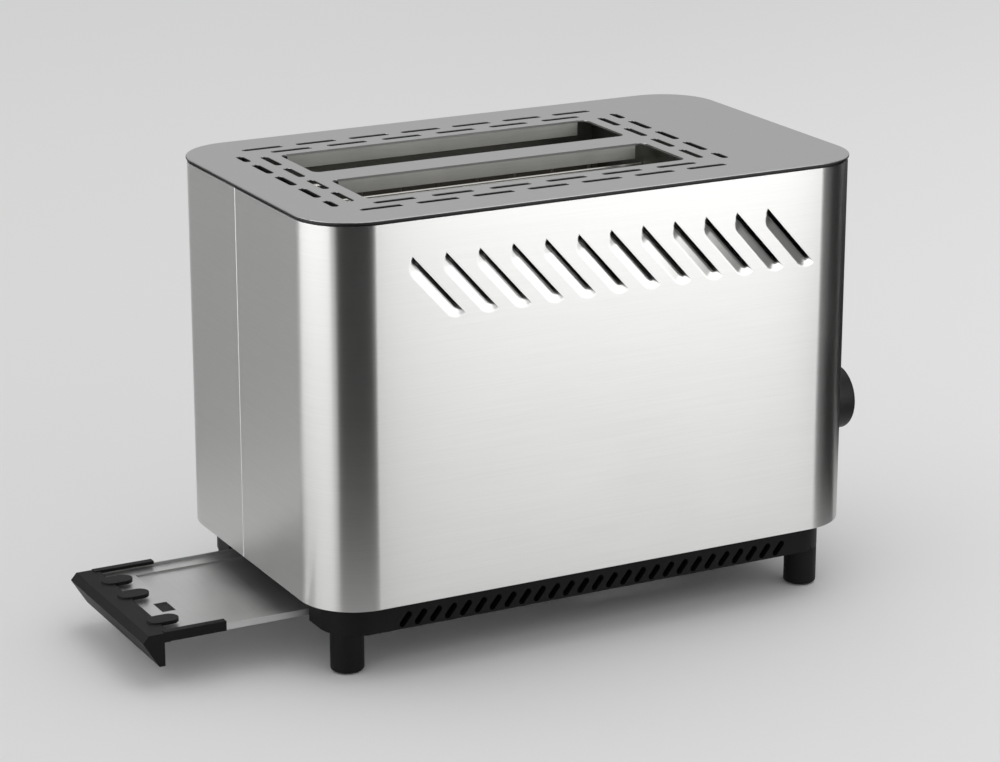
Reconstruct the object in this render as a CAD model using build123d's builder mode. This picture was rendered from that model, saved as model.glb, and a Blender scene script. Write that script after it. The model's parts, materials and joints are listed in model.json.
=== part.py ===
from build123d import *
import os
from math import cos, radians, sin

os.makedirs("parts", exist_ok=True)

# A two-slot toaster in brushed steel, crumb tray drawn out at its left end.
# Millimetres. X runs along the body towards the lever end, the louvred front
# looks to -Y, Z is up and the table is z = 0.

# Body
body_length = 260.0
body_width = 156.0
corner_radius = 25.0
steel = 0.8
wrap_height = 163.7
leg_height = 17.9
skirt_height = 13.8
skirt_inset = 8.4
skirt_wall = 2.6
plate_gap = 0.6
plate_thickness = 0.9
plate_overhang = 0.5
plate_rim_depth = 7.0
rim_clearance = 0.3
seam_gap = 0.4
seam_left_y = 6.0
seam_right_y = 14.0
seam_strip_width = 14.0

# Base
deck_thickness = 2.5
deck_recess = 0.3
deck_clearance = 0.25
leg_radius = 7.2
leg_setback_x = 17.9
leg_setback_y = 18.8
pad_radius = 5.0
pad_height = 2.9
pad_proud = 0.6
pad_clearance = 0.15
sole_round = 1.2
vent_pitch = 7.06
vent_width = 2.8
vent_length = 7.6
vent_angle = 51.0
front_vent_count = 27
rear_vent_count = 22
vent_first_x = -89.8
vent_drop = 9.7
sill_reach = 14.0
sill_thickness = 1.2

# Bread slots and the chamber below them
chamber_x = -17.4
chamber_length = 171.0
chamber_width = 122.0
slot_length = 151.0
slot_width = 36.7
slot_spacing = 52.0
slot_corner = 3.5
lip_depth = 6.8
lip_corner = 4.0
row_slot_length = 19.3
perforation_width = 3.4
outer_row_count = 7
outer_row_pitch = 25.5
outer_row_y = 59.4
inner_row_count = 6
inner_row_pitch = 26.6
inner_row_y = 51.1
column_slot_length = 17.8
column_end_length = 11.1
outer_column_x = 92.1
inner_column_x = 82.9
column_pitch = 23.8

# Louvres
louvre_count = 12
louvre_pitch = 15.27
louvre_first_x = -79.4
louvre_drop = 30.6
louvre_length = 34.5
louvre_width = 5.8
louvre_angle = 48.0
louvre_tilt = 30.0
tongue_sheet = 0.65
tongue_root = 0.4

# Crumb tray, drawn out until its handle stands at handle_reach
handle_closed_reach = 122.0
tray_closed_end = 85.0
tray_half_width = 41.0
tray_sheet = 0.6
tray_floor_z = 19.9
tray_rim_z = 22.7
tray_panel_border = 8.0
tray_panel_step = 0.9
rail_clearance = 1.4
rail_wall = 2.0
rail_lip = 5.0
rail_lip_thickness = 1.5
rail_gap = 0.3
tray_slot_top = 25.2
handle_reach = 196.0
handle_depth = 12.2
handle_top = 23.8
handle_edge_z = 20.8
handle_bottom_z = 9.4
handle_foot = 2.6
arm_length = 25.0
arm_width = 3.4
arm_wall = 0.7
arm_rise = 0.4
arm_clearance = 0.2
tray_clearance = 0.1
tab_length = 9.4
tab_width = 8.6
tab_thickness = 1.6
tab_places = (25.0, 6.0, -27.0)
tray_window_y = -8.0
tray_window_width = 10.8
tray_window_length = 6.0
tray_window_setback = 8.0
hook_thickness = 1.4
hook_clearance = 0.3
hook_sink = 0.4

# Chamber furniture
reflector_sheet = 0.5
reflector_y = 55.2
flange_width = 9.0
top_flange_width = 3.6
card_thickness = 0.6
card_y = 50.0
card_bottom = 37.0
card_top = 181.0
chamber_gap = 0.3
ribbon_width = 2.4
ribbon_thickness = 0.3
ribbon_runs = 11
ribbon_margin = 10.0
guard_wire = 1.6
guard_rail = 2.4
guard_count = 9
guard_pitch = 19.0
guard_offset = 15.5
guard_bottom = 50.0
guard_top = 182.0

# Bread lift
lift_travel = 70.0
rack_top = 122.0
rack_height = 9.0
rack_sheet = 1.2
rack_finger_count = 7
rack_finger_pitch = 22.0
rack_finger_length = 10.0
rack_finger_width = 4.0
carriage_gap = 3.2
carriage_sheet = 1.5
carriage_height = 24.0
carriage_half_width = 34.0
rod_x = 86.0
rod_y = 13.0
rod_radius = 2.5
rod_top = 189.0
bush_radius = 5.0
running_clearance = 0.05
arm_z = 118.0
lever_arm_height = 8.0
lever_arm_thickness = 2.0
lever_arm_reach = 138.0
lever_slot_width = 6.0
lever_slot_margin = 1.0
lever_knob_gap = 1.0
lever_knob_reach = 150.0
lever_knob_width = 34.0
lever_knob_height = 13.0
armature_z = 126.0
armature_sheet = 2.0
armature_y = -22.0
armature_width = 16.0
magnet_x = 92.0
magnet_gap = 0.3
spring_x = 97.0
spring_y = 13.0
spring_radius = 4.0
spring_wire = 0.9
spring_turns = 12

# Controls
knob_y = -33.5
knob_z = 75.2
knob_radius = 14.6
knob_length = 17.4
knob_gap = 0.6
knob_shaft_radius = 3.0
shaft_hole_clearance = 0.8
button_y = 33.5
button_radius = 5.0
button_pitch = 17.0
button_proud = 2.4
button_travel = 1.5
button_clearance = 0.35
bracket_x = 104.0
bracket_sheet = 1.5
bracket_top = 112.0
bracket_inner_y = 8.0
bracket_outer_y = 62.0
standoff = 2.5
standoff_radius = 3.5
board_thickness = 1.6
board_bottom = 48.0
board_top = 104.0
switch_size = 6.5
switch_height = 5.0
gauge_radius = 8.5
gauge_length = 9.0

# Fasteners and the cord's inlet
screw_radius = 1.6
screw_head_radius = 3.2
screw_head = 1.8
end_screw_setback = 12.0
board_screw_margin = 6.0
screw_hole_clearance = 0.1
gland_x = 92.0
gland_outer = 5.5
gland_body = 4.4
gland_bore = 3.2
gland_flange = 1.6
gland_clearance = 0.1

# Worked-out places
skirt_bottom = leg_height
wrap_bottom = skirt_bottom + skirt_height
wrap_top = wrap_bottom + wrap_height
plate_bottom = wrap_top + plate_gap
plate_top = plate_bottom + plate_thickness
deck_bottom = wrap_bottom + deck_recess
deck_top = deck_bottom + deck_thickness
body_x = (handle_reach - lever_knob_reach) / 2
leg_x = body_length / 2 - leg_setback_x
leg_y = body_width / 2 - leg_setback_y
wrap_inner_x = body_length / 2 - steel
skirt_y = body_width / 2 - skirt_inset
skirt_x = body_length / 2 - skirt_inset
chamber_left = chamber_x - chamber_length / 2
chamber_right = chamber_x + chamber_length / 2
rail_y = tray_half_width + rail_clearance
handle_inner = -handle_reach + handle_depth
tray_out = handle_reach - handle_closed_reach
arm_top = handle_top + arm_rise
rack_low = rack_top - rack_height
carriage_x = chamber_right + steel + carriage_gap
carriage_bottom = arm_z - carriage_height / 2
furniture_top = plate_bottom - chamber_gap
spring_bottom = armature_z + armature_sheet + chamber_gap
end_screw_y = chamber_width / 2 - end_screw_setback


def level(z):
    """Plane at height z, centred on the body."""
    return Plane(origin=(body_x, 0, z))


def facing_front(y):
    """Upright plane at depth y: local x along the body, local y up, normal to -Y."""
    return Plane(origin=(body_x, y, 0), x_dir=(1, 0, 0), z_dir=(0, -1, 0))


def facing_lever(x):
    """Upright plane across the body at x: local x to the rear, local y up, normal to +X."""
    return Plane(origin=(body_x + x, 0, 0), x_dir=(0, 1, 0), z_dir=(1, 0, 0))


def outline(inset, mode=Mode.ADD):
    """The body's rounded rectangle, drawn in by inset."""
    length = body_length - 2 * inset
    width = body_width - 2 * inset
    return RectangleRounded(length, width, corner_radius - inset, mode=mode)


def block(x0, x1, y0, y1, z0, z1, mode=Mode.ADD):
    """A box between six planes of the body's own frame."""
    centre = (body_x + (x0 + x1) / 2, (y0 + y1) / 2, (z0 + z1) / 2)
    with Locations(centre):
        return Box(x1 - x0, y1 - y0, z1 - z0, mode=mode)


# Base: a deck inside the wrap, a vented skirt with an inward sill below it, four legs and
# the tray's rails
screw_places = [
    (x, y)
    for x in (chamber_left - flange_width / 2, chamber_right + flange_width / 2)
    for y in (-end_screw_y, end_screw_y)
]
with BuildPart() as base:
    with BuildSketch(level(deck_bottom)):
        outline(steel + deck_clearance)
    extrude(amount=deck_thickness)
    with BuildSketch(level(skirt_bottom)):
        outline(skirt_inset)
        outline(skirt_inset + skirt_wall, mode=Mode.SUBTRACT)
    extrude(amount=deck_bottom - skirt_bottom)
    with BuildSketch(level(pad_proud)):
        with GridLocations(2 * leg_x, 2 * leg_y, 2, 2):
            Circle(leg_radius)
    extrude(amount=deck_bottom - pad_proud)
    soles = base.edges().filter_by(GeomType.CIRCLE).group_by(Axis.Z)[0]
    fillet(soles, sole_round)
    with BuildSketch(level(pad_proud)):
        with GridLocations(2 * leg_x, 2 * leg_y, 2, 2):
            Circle(pad_radius + pad_clearance)
    extrude(amount=pad_height - pad_proud + pad_clearance, mode=Mode.SUBTRACT)
    lip_top = tray_floor_z - rail_gap
    rail_bottom = lip_top - rail_lip_thickness
    rail_start = -skirt_x + skirt_wall / 2
    lip_start = handle_inner + tray_out + rail_gap
    for side in (-1, 1):
        wall_in = side * rail_y
        wall_out = side * (rail_y + rail_wall)
        lip_in = side * (rail_y - rail_lip)
        block(rail_start, tray_closed_end, min(wall_in, wall_out), max(wall_in, wall_out),
              rail_bottom, deck_bottom)
        block(lip_start, tray_closed_end, min(wall_in, lip_in), max(wall_in, lip_in),
              rail_bottom, lip_top)
    block(chamber_left + flange_width, chamber_right - flange_width, -rail_y, rail_y,
          deck_bottom, deck_top, mode=Mode.SUBTRACT)
    block(-body_length / 2, -skirt_x + skirt_wall, -rail_y, rail_y,
          0, tray_slot_top, mode=Mode.SUBTRACT)
    sill_outer = skirt_y - skirt_wall / 2
    sill_inner = skirt_y - skirt_wall - sill_reach
    for y_low, y_high in ((-sill_outer, -sill_inner), (sill_inner, sill_outer)):
        block(-leg_x, leg_x, y_low, y_high, skirt_bottom, skirt_bottom + sill_thickness)
    for side, count in ((-1, front_vent_count), (1, rear_vent_count)):
        with BuildSketch(facing_front(side * skirt_y)):
            for number in range(count):
                with Locations((vent_first_x + number * vent_pitch, wrap_bottom - vent_drop)):
                    SlotOverall(vent_length, vent_width, rotation=vent_angle)
        extrude(amount=side * skirt_wall, mode=Mode.SUBTRACT)
    with BuildSketch(facing_front(skirt_y)):
        with Locations((gland_x, (skirt_bottom + wrap_bottom) / 2)):
            Circle(gland_body + gland_clearance)
    extrude(amount=skirt_wall, both=True, mode=Mode.SUBTRACT)
    with BuildSketch(level(deck_bottom)):
        with Locations(*screw_places):
            Circle(screw_radius + screw_hole_clearance)
    extrude(amount=deck_thickness, mode=Mode.SUBTRACT)
base.part.label = "base"
export_step(base.part, "parts/base.step")

# Rubber pads let into the legs
with BuildPart() as foot_pads:
    with BuildSketch(level(0)):
        with GridLocations(2 * leg_x, 2 * leg_y, 2, 2):
            Circle(pad_radius)
    extrude(amount=pad_height)
foot_pads.part.label = "foot_pads"
export_step(foot_pads.part, "parts/foot_pads.step")

# The wrap: two bent shells that meet at the seams on the ends
louvre_along = (cos(radians(louvre_angle)), 0, -sin(radians(louvre_angle)))
louvre_up = (sin(radians(louvre_angle)), 0, cos(radians(louvre_angle)))
louvre_places = [louvre_first_x + number * louvre_pitch for number in range(louvre_count)]
louvre_z = wrap_top - louvre_drop
tongue_width = louvre_width / cos(radians(louvre_tilt)) + tongue_root
strip_bottom = deck_top + chamber_gap
strip_top = plate_bottom - plate_rim_depth - chamber_gap


def tongue_plane(x, side):
    """Plane of a pressed tongue: it hinges on the louvre's lower edge and leans inwards."""
    lean = radians(louvre_tilt)
    half = louvre_width / 2
    hinge = (
        body_x + x - half * louvre_up[0],
        side * (body_width / 2 - steel),
        louvre_z - half * louvre_up[2],
    )
    rise = -side * sin(lean)
    normal = (rise * louvre_up[0], -cos(lean), rise * louvre_up[2])
    return Plane(origin=hinge, x_dir=louvre_along, z_dir=normal)


with BuildPart() as front_shell:
    with BuildSketch(level(wrap_bottom)):
        outline(0)
        outline(steel, mode=Mode.SUBTRACT)
    extrude(amount=wrap_height)
    block(-body_length / 2, 0, seam_left_y, body_width / 2, wrap_bottom, wrap_top, Mode.SUBTRACT)
    block(0, body_length / 2, seam_right_y, body_width / 2, wrap_bottom, wrap_top, Mode.SUBTRACT)
    with BuildSketch(facing_front(-body_width / 2)):
        for x in louvre_places:
            with Locations((x, louvre_z)):
                SlotOverall(louvre_length, louvre_width, rotation=-louvre_angle)
    extrude(amount=-steel, mode=Mode.SUBTRACT)
    for x in louvre_places:
        with BuildSketch(tongue_plane(x, -1)):
            with Locations((0, tongue_width / 2 - tongue_root)):
                SlotOverall(louvre_length, tongue_width)
        extrude(amount=tongue_sheet)
    with BuildSketch(facing_lever(wrap_inner_x)):
        slot_top = arm_z + lever_arm_height / 2 + lever_slot_margin
        slot_low = arm_z - lift_travel - lever_arm_height / 2 - lever_slot_margin
        with Locations((0, (slot_top + slot_low) / 2)):
            Rectangle(lever_slot_width, slot_top - slot_low)
        with Locations((knob_y, knob_z)):
            Circle(knob_shaft_radius + shaft_hole_clearance)
    extrude(amount=steel, mode=Mode.SUBTRACT)
front_shell.part.label = "front_shell"
export_step(front_shell.part, "parts/front_shell.step")

with BuildPart() as rear_shell:
    with BuildSketch(level(wrap_bottom)):
        outline(0)
        outline(steel, mode=Mode.SUBTRACT)
    extrude(amount=wrap_height)
    block(-body_length / 2, 0, -body_width / 2, seam_left_y + seam_gap,
          wrap_bottom, wrap_top, Mode.SUBTRACT)
    block(0, body_length / 2, -body_width / 2, seam_right_y + seam_gap,
          wrap_bottom, wrap_top, Mode.SUBTRACT)
    with BuildSketch(facing_front(body_width / 2)):
        for x in louvre_places:
            with Locations((x, louvre_z)):
                SlotOverall(louvre_length, louvre_width, rotation=-louvre_angle)
    extrude(amount=steel, mode=Mode.SUBTRACT)
    for x in louvre_places:
        with BuildSketch(tongue_plane(x, 1)):
            with Locations((0, tongue_width / 2 - tongue_root)):
                SlotOverall(louvre_length, tongue_width)
        extrude(amount=-tongue_sheet)
    with BuildSketch(facing_lever(wrap_inner_x)):
        for row in (-1, 0, 1):
            with Locations((button_y, knob_z + row * button_pitch)):
                Circle(button_radius + button_clearance)
    extrude(amount=steel, mode=Mode.SUBTRACT)
    # A lap strip behind each seam, welded to this shell
    for end_x, seam_y in ((-wrap_inner_x, seam_left_y), (wrap_inner_x - steel, seam_right_y)):
        block(end_x, end_x + steel, seam_y - seam_strip_width / 2, seam_y + seam_strip_width / 2,
              strip_bottom, strip_top)
rear_shell.part.label = "rear_shell"
export_step(rear_shell.part, "parts/rear_shell.step")

# Top plate: a flat lid with a rim inside the wrap, two bread slots with folded lips
# and two rings of small slots round them
with BuildPart() as top_plate:
    with BuildSketch(level(plate_bottom)):
        outline(-plate_overhang)
    extrude(amount=plate_thickness)
    fillet(top_plate.edges().group_by(Axis.Z)[-1], plate_thickness / 2)
    with BuildSketch(level(plate_bottom)):
        outline(steel + rim_clearance)
        outline(2 * steel + rim_clearance, mode=Mode.SUBTRACT)
    extrude(amount=-plate_rim_depth)
    with BuildSketch(level(plate_bottom)):
        with Locations((chamber_x, 0)):
            with GridLocations(0, slot_spacing, 1, 2):
                RectangleRounded(slot_length, slot_width, slot_corner)
            with GridLocations(outer_row_pitch, 2 * outer_row_y, outer_row_count, 2):
                SlotOverall(row_slot_length, perforation_width)
            with GridLocations(inner_row_pitch, 2 * inner_row_y, inner_row_count, 2):
                SlotOverall(row_slot_length, perforation_width)
            with GridLocations(2 * outer_column_x, column_pitch, 2, 3):
                SlotOverall(column_slot_length, perforation_width, rotation=90)
            end_y = (column_end_length - column_slot_length) / 2 + 2 * column_pitch
            with GridLocations(2 * outer_column_x, 2 * end_y, 2, 2):
                SlotOverall(column_end_length, perforation_width, rotation=90)
            with GridLocations(2 * inner_column_x, column_pitch, 2, 4):
                SlotOverall(column_slot_length, perforation_width, rotation=90)
    extrude(amount=plate_thickness, mode=Mode.SUBTRACT)
    lip_x0 = chamber_x - slot_length / 2 + lip_corner
    lip_x1 = chamber_x + slot_length / 2 - lip_corner
    for slot_y in (-slot_spacing / 2, slot_spacing / 2):
        for edge_y in (slot_y - slot_width / 2 - steel, slot_y + slot_width / 2):
            block(lip_x0, lip_x1, edge_y, edge_y + steel, plate_top - lip_depth, plate_bottom)
top_plate.part.label = "top_plate"
export_step(top_plate.part, "parts/top_plate.step")

# Crumb tray: a shallow stamped sheet, shown drawn out of the left end
tray_start = handle_inner - handle_depth / 2
tray_end = tray_closed_end - tray_out
with BuildPart() as crumb_tray:
    block(tray_start, tray_end, -tray_half_width, tray_half_width, tray_floor_z, tray_rim_z)
    block(tray_start + tray_sheet, tray_end - tray_sheet, tray_sheet - tray_half_width,
          tray_half_width - tray_sheet, tray_floor_z + tray_sheet + tray_panel_step,
          tray_rim_z, Mode.SUBTRACT)
    panel = tray_half_width - tray_panel_border
    block(tray_start + handle_depth + tray_panel_border, tray_end - tray_panel_border, -panel,
          panel, tray_floor_z + tray_sheet, tray_rim_z, Mode.SUBTRACT)
    block(tray_start - tray_sheet, tray_end - tray_panel_border, -tray_half_width,
          tray_half_width, tray_floor_z - tray_panel_step, tray_floor_z, Mode.SUBTRACT)
    window_x = handle_inner + tray_window_setback
    block(window_x, window_x + tray_window_length, tray_window_y - tray_window_width / 2,
          tray_window_y + tray_window_width / 2, tray_floor_z, tray_rim_z, Mode.SUBTRACT)
crumb_tray.part.label = "crumb_tray"
export_step(crumb_tray.part, "parts/crumb_tray.step")

# Tray handle: a wedge to pull by, two arms over the tray's edges, three thumb tabs, and a
# hook below the tray that catches in its window
with BuildPart() as tray_handle:
    handle_half = tray_half_width + arm_clearance + arm_wall
    with BuildSketch(facing_front(-handle_half)) as profile:
        with BuildLine():
            Polyline(
                (handle_inner, handle_top),
                (-handle_reach + handle_foot, handle_top),
                (-handle_reach, handle_edge_z),
                (handle_inner - 2 * handle_foot, handle_bottom_z),
                (handle_inner - handle_foot, handle_bottom_z),
                (handle_inner - handle_foot, tray_floor_z - arm_clearance),
                (handle_inner, tray_floor_z - arm_clearance),
                close=True,
            )
        make_face()
    extrude(amount=-2 * handle_half)
    block(tray_start - arm_clearance, handle_inner, -tray_half_width - arm_clearance,
          tray_half_width + arm_clearance, tray_floor_z - arm_clearance,
          tray_rim_z + tray_clearance, Mode.SUBTRACT)
    for side in (-1, 1):
        outer = side * handle_half
        wall_in = side * (tray_half_width + arm_clearance)
        top_in = outer - side * arm_width
        block(handle_inner - handle_foot, handle_inner + arm_length, min(outer, top_in),
              max(outer, top_in), tray_rim_z + tray_clearance, arm_top)
        block(handle_inner - handle_foot, handle_inner + arm_length, min(outer, wall_in),
              max(outer, wall_in), tray_floor_z, arm_top)
    for place in tab_places:
        with BuildSketch(level(tray_rim_z + tray_clearance)):
            with Locations((handle_inner + tab_length / 2 - tab_width / 4, place)):
                SlotOverall(tab_length + tab_width / 2, tab_width)
        extrude(amount=tab_thickness)
    hook_top = tray_floor_z - arm_clearance
    hook_low = tray_window_y - tray_window_width / 2 + hook_clearance
    hook_high = tray_window_y + tray_window_width / 2 - hook_clearance
    hook_end = window_x + tray_window_length - hook_clearance
    block(handle_inner - handle_foot, hook_end, hook_low, hook_high,
          hook_top - hook_thickness, hook_top)
    block(window_x + hook_clearance, hook_end, hook_low, hook_high, hook_top,
          tray_floor_z + tray_sheet + tray_panel_step - hook_sink)
tray_handle.part.label = "tray_handle"
export_step(tray_handle.part, "parts/tray_handle.step")

# Chamber: two end plates folded over at top and bottom, and two reflectors
with BuildPart() as tray_end_plate:
    chamber_y = chamber_width / 2
    block(chamber_left - steel, chamber_left, -chamber_y, chamber_y, deck_top, furniture_top)
    for z, width in ((deck_top, flange_width), (furniture_top - steel, top_flange_width)):
        block(chamber_left - width, chamber_left - steel, -chamber_y, chamber_y, z, z + steel)
    with BuildSketch(level(deck_top)):
        with Locations(*screw_places[:2]):
            Circle(screw_radius + screw_hole_clearance)
    extrude(amount=steel, mode=Mode.SUBTRACT)
tray_end_plate.part.label = "tray_end_plate"
export_step(tray_end_plate.part, "parts/tray_end_plate.step")

rack_slot_width = rack_sheet + 2 * carriage_gap
with BuildPart() as lever_end_plate:
    block(chamber_right, chamber_right + steel, -chamber_y, chamber_y, deck_top, furniture_top)
    for z, width in ((deck_top, flange_width), (furniture_top - steel, top_flange_width)):
        block(chamber_right + steel, chamber_right + width, -chamber_y, chamber_y, z, z + steel)
    for slot_y in (-slot_spacing / 2, slot_spacing / 2):
        block(chamber_right, chamber_right + steel, slot_y - rack_slot_width / 2,
              slot_y + rack_slot_width / 2, rack_low - lift_travel - carriage_gap,
              rack_top + carriage_gap, Mode.SUBTRACT)
    block(chamber_right + steel, spring_x + bush_radius, rod_y - flange_width,
          rod_y + flange_width, rod_top - steel, rod_top)
    with BuildSketch(level(rod_top - steel)):
        with Locations((rod_x, rod_y)):
            Circle(rod_radius + running_clearance)
    extrude(amount=steel, mode=Mode.SUBTRACT)
    with BuildSketch(level(deck_top)):
        with Locations(*screw_places[2:]):
            Circle(screw_radius + screw_hole_clearance)
    extrude(amount=steel, mode=Mode.SUBTRACT)
lever_end_plate.part.label = "lever_end_plate"
export_step(lever_end_plate.part, "parts/lever_end_plate.step")

inner_left = chamber_left + chamber_gap
inner_right = chamber_right - chamber_gap
for name, y in (("front_reflector", -reflector_y), ("rear_reflector", reflector_y)):
    with BuildPart() as reflector:
        block(inner_left, inner_right, y - reflector_sheet / 2, y + reflector_sheet / 2,
              deck_top, furniture_top - steel)
    reflector.part.label = name
    export_step(reflector.part, f"parts/{name}.step")

# Heaters: mica cards with a flat ribbon laid to and fro on each heated face
run_pitch = (card_top - card_bottom - 2 * ribbon_margin) / (ribbon_runs - 1)
ribbon_left = inner_left + ribbon_margin
ribbon_right = inner_right - ribbon_margin


def ribbon(face_y, side):
    """One unbroken ribbon on the card's face that looks towards side."""
    y0 = min(face_y, face_y + side * ribbon_thickness)
    y1 = y0 + ribbon_thickness
    for run in range(ribbon_runs):
        z = card_bottom + ribbon_margin + run * run_pitch
        block(ribbon_left, ribbon_right, y0, y1, z - ribbon_width / 2, z + ribbon_width / 2)
        if run < ribbon_runs - 1:
            x = ribbon_left if run % 2 else ribbon_right - ribbon_width
            block(x, x + ribbon_width, y0, y1, z, z + run_pitch)


for name, y in (("front_heater_card", -card_y), ("centre_heater_card", 0.0),
                ("rear_heater_card", card_y)):
    with BuildPart() as card:
        block(inner_left, inner_right, y - card_thickness / 2, y + card_thickness / 2,
              card_bottom, card_top)
    card.part.label = name
    export_step(card.part, f"parts/{name}.step")

heated_faces = {
    "front_heater_ribbon": ((card_thickness / 2 - card_y, 1),),
    "centre_heater_ribbons": ((-card_thickness / 2, -1), (card_thickness / 2, 1)),
    "rear_heater_ribbon": ((card_y - card_thickness / 2, -1),),
}
for name, faces in heated_faces.items():
    with BuildPart() as ribbons:
        for face_y, side in faces:
            ribbon(face_y, side)
    ribbons.part.label = name
    export_step(ribbons.part, f"parts/{name}.step")

# Guards: wire cages on both sides of each slot, which close on the bread
guard_length = inner_right - inner_left
for slot_name, slot_y in (("front", -slot_spacing / 2), ("rear", slot_spacing / 2)):
    for side_name, side in (("near", -1), ("far", 1)):
        y = slot_y + side * guard_offset
        name = f"{slot_name}_slot_{side_name}_guard"
        with BuildPart() as guard:
            with BuildSketch(facing_lever(inner_left)):
                for z in (guard_bottom, guard_top):
                    with Locations((y, z)):
                        Circle(guard_rail / 2)
            extrude(amount=guard_length)
            with BuildSketch(level(guard_bottom)):
                with Locations((chamber_x, y)):
                    with GridLocations(guard_pitch, 0, guard_count, 1):
                        Circle(guard_wire / 2)
            extrude(amount=guard_top - guard_bottom)
        guard.part.label = name
        export_step(guard.part, f"parts/{name}.step")

# Bread racks: a rail with cross fingers under each slot, carried by the carriage
for name, y in (("front_bread_rack", -slot_spacing / 2), ("rear_bread_rack", slot_spacing / 2)):
    with BuildPart() as rack:
        block(inner_left + ribbon_margin, carriage_x, y - rack_sheet / 2, y + rack_sheet / 2,
              rack_low, rack_top)
        for finger in range(rack_finger_count):
            x = chamber_x + (finger - (rack_finger_count - 1) / 2) * rack_finger_pitch
            block(x - rack_finger_width / 2, x + rack_finger_width / 2,
                  y - rack_finger_length / 2, y + rack_finger_length / 2,
                  rack_top - rack_sheet, rack_top)
    rack.part.label = name
    export_step(rack.part, f"parts/{name}.step")

# Carriage: a plate across the chamber's end, a bush on the guide rod, the lever's arm
# and the armature that the magnet holds
with BuildPart() as carriage:
    block(carriage_x, carriage_x + carriage_sheet, -carriage_half_width, carriage_half_width,
          carriage_bottom, carriage_bottom + carriage_height)
    with BuildSketch(level(carriage_bottom)):
        with Locations((rod_x, rod_y)):
            Circle(bush_radius)
        with Locations(((carriage_x + rod_x) / 2, rod_y)):
            Rectangle(rod_x - carriage_x, bush_radius)
    extrude(amount=carriage_height)
    block(carriage_x, lever_arm_reach, -lever_arm_thickness / 2, lever_arm_thickness / 2,
          arm_z - lever_arm_height / 2, arm_z + lever_arm_height / 2)
    block(carriage_x, magnet_x + armature_width / 2, armature_y - armature_width / 2,
          armature_y + armature_width / 2, armature_z, armature_z + armature_sheet)
    block(carriage_x, spring_x + spring_radius, rod_y - bush_radius, rod_y + bush_radius,
          armature_z, armature_z + armature_sheet)
    with BuildSketch(level(carriage_bottom)):
        with Locations((rod_x, rod_y)):
            Circle(rod_radius + running_clearance)
    extrude(amount=carriage_height, mode=Mode.SUBTRACT)
carriage.part.label = "carriage"
export_step(carriage.part, "parts/carriage.step")

with BuildPart() as guide_rod:
    with BuildSketch(level(deck_top)):
        with Locations((rod_x, rod_y)):
            Circle(rod_radius)
    extrude(amount=rod_top - deck_top)
guide_rod.part.label = "guide_rod"
export_step(guide_rod.part, "parts/guide_rod.step")

# Lift spring, slack at the top of the travel
spring_top = rod_top - steel - chamber_gap
spring_height = spring_top - spring_bottom - spring_wire
with BuildPart() as lift_spring:
    with BuildLine():
        coil = Helix(spring_height / spring_turns, spring_height, spring_radius - spring_wire / 2,
                     center=(body_x + spring_x, spring_y, spring_bottom + spring_wire / 2))
    with BuildSketch(Plane(origin=coil @ 0, z_dir=coil % 0)):
        Circle(spring_wire / 2)
    sweep()
lift_spring.part.label = "lift_spring"
export_step(lift_spring.part, "parts/lift_spring.step")

# Latch magnet on the deck, met by the armature at the bottom of the travel
magnet_top = armature_z - lift_travel - magnet_gap
with BuildPart() as latch_magnet:
    coil_half = armature_width / 2
    core_half = coil_half / 2
    block(magnet_x - coil_half, magnet_x + coil_half, armature_y - coil_half,
          armature_y + coil_half, deck_top, magnet_top - core_half)
    block(magnet_x - core_half, magnet_x + core_half, armature_y - core_half,
          armature_y + core_half, magnet_top - core_half, magnet_top)
latch_magnet.part.label = "latch_magnet"
export_step(latch_magnet.part, "parts/latch_magnet.step")

# Lever knob on the end of the carriage's arm, outside the wrap
with BuildPart() as lever_knob:
    knob_start = body_length / 2 + lever_knob_gap
    with BuildSketch(facing_lever(knob_start)):
        with Locations((0, arm_z)):
            RectangleRounded(lever_knob_width, lever_knob_height, lever_knob_height / 4)
    extrude(amount=lever_knob_reach - knob_start)
    fillet(lever_knob.faces().sort_by(Axis.X)[-1].edges(), lever_knob_height / 6)
    with BuildSketch(facing_lever(knob_start)):
        with Locations((0, arm_z)):
            Rectangle(lever_arm_thickness, lever_arm_height)
    extrude(amount=lever_arm_reach - knob_start, mode=Mode.SUBTRACT)
lever_knob.part.label = "lever_knob"
export_step(lever_knob.part, "parts/lever_knob.step")

# Board bracket: an upright sheet on the deck with a gap for the lever's arm
board_places = []
for side in (-1, 1):
    board_places.append((side * (bracket_inner_y + board_screw_margin),
                         board_top - board_screw_margin))
    board_places.append((side * (bracket_outer_y - board_screw_margin),
                         board_bottom + board_screw_margin))
board_x = bracket_x + bracket_sheet + standoff
with BuildPart() as board_bracket:
    block(bracket_x + bracket_sheet, bracket_x + flange_width, -bracket_outer_y,
          bracket_outer_y, deck_top, deck_top + bracket_sheet)
    for side in (-1, 1):
        inner = side * bracket_inner_y
        outer = side * bracket_outer_y
        block(bracket_x, bracket_x + bracket_sheet, min(inner, outer), max(inner, outer),
              deck_top, bracket_top)
    block(bracket_x, bracket_x + bracket_sheet, -bracket_inner_y, bracket_inner_y,
          deck_top, deck_top + bracket_sheet)
    with BuildSketch(facing_lever(bracket_x + bracket_sheet)):
        with Locations(*board_places):
            Circle(standoff_radius)
    extrude(amount=standoff)
    with BuildSketch(facing_lever(bracket_x)):
        with Locations(*board_places):
            Circle(screw_radius + screw_hole_clearance)
    extrude(amount=bracket_sheet + standoff, mode=Mode.SUBTRACT)
board_bracket.part.label = "board_bracket"
export_step(board_bracket.part, "parts/board_bracket.step")

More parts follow.
